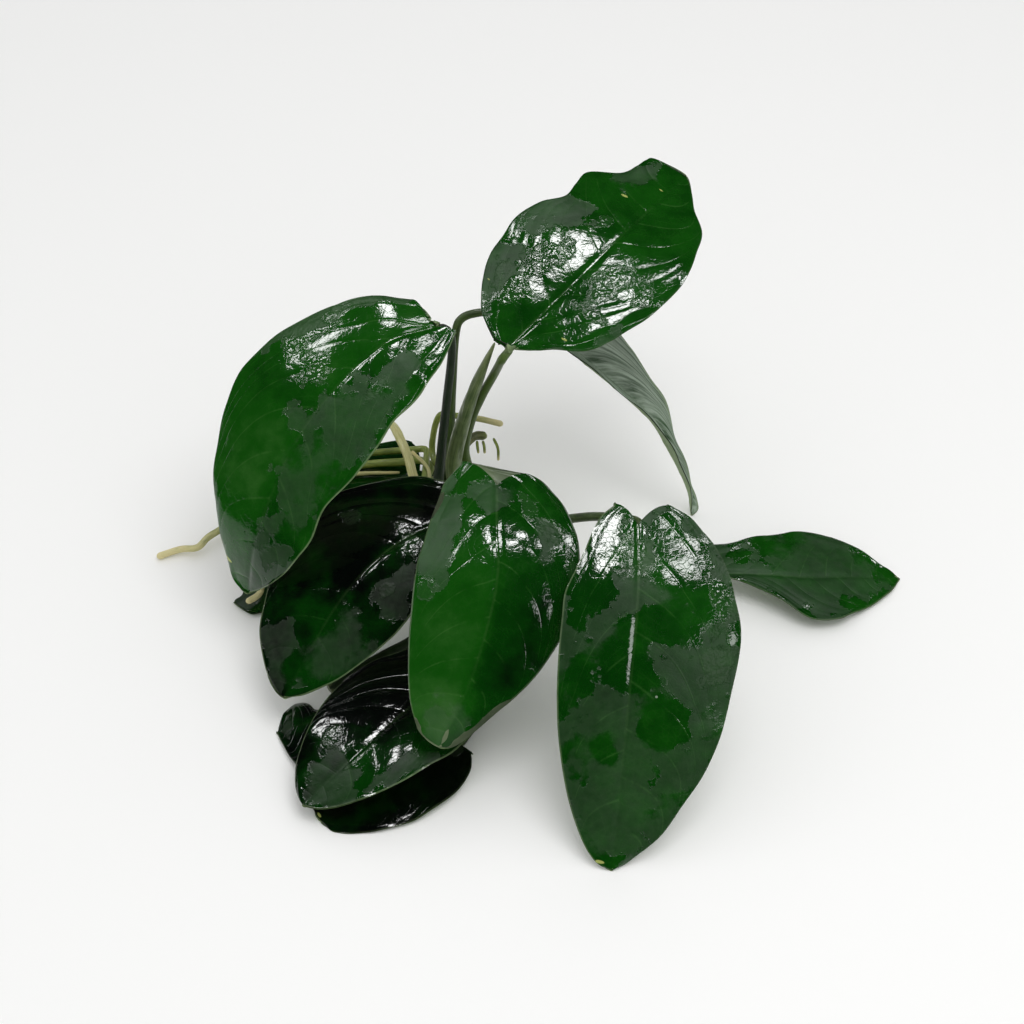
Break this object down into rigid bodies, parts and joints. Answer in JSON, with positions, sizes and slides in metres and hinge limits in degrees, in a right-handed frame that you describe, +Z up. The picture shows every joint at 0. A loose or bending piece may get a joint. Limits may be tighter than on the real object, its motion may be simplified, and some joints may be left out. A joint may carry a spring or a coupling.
{
  "type": "anubias nana plant",
  "caption": "Small rhizome plant with glossy heart-based leaves on stalks, laid bare-root on its lower leaves and roots.",
  "frame": {"origin": "on the surface that the plant lies on, below the middle of its box", "axes": "+Z up, +X towards the single leaf that lies out on its own, -Y towards the tip of the largest leaf"},
  "size_m": [0.1635, 0.1353, 0.0728],
  "materials": {
    "leaf": "gloss",
    "stalk": "satin",
    "young_leaf": "satin",
    "root": "satin",
    "pale_root": "matte",
    "rhizome": "matte"
  },
  "bodies": {
    "root": {"rhizome": "rhizome", "rolled_leaf": "young_leaf", "stalk_stub": "stalk", "blade_top": "leaf", "stalk_top": "stalk", "blade_upper_left": "leaf", "stalk_upper_left": "stalk", "blade_centre": "leaf", "stalk_centre": "stalk", "blade_front_right": "leaf", "stalk_front_right": "stalk", "blade_lower_left": "leaf", "stalk_lower_left": "stalk", "blade_front_left": "leaf", "stalk_front_left": "stalk", "blade_floor_front": "leaf", "stalk_floor_front": "stalk", "blade_floor_left": "leaf", "stalk_floor_left": "stalk", "blade_back_right": "leaf", "stalk_back_right": "stalk", "blade_floor_right": "leaf", "stalk_floor_right": "stalk", "blade_back_left": "leaf", "stalk_back_left": "stalk", "root_long": "root", "root_second": "root", "root_strap": "pale_root", "root_arch": "root", "root_thin": "pale_root", "root_cream": "pale_root", "root_nub": "rhizome", "rootlet_left": "root", "rootlet_middle": "root", "rootlet_right": "root", "root_under_back": "pale_root", "root_under_middle": "pale_root", "root_under_side": "pale_root"}
  },
  "joints": []
}
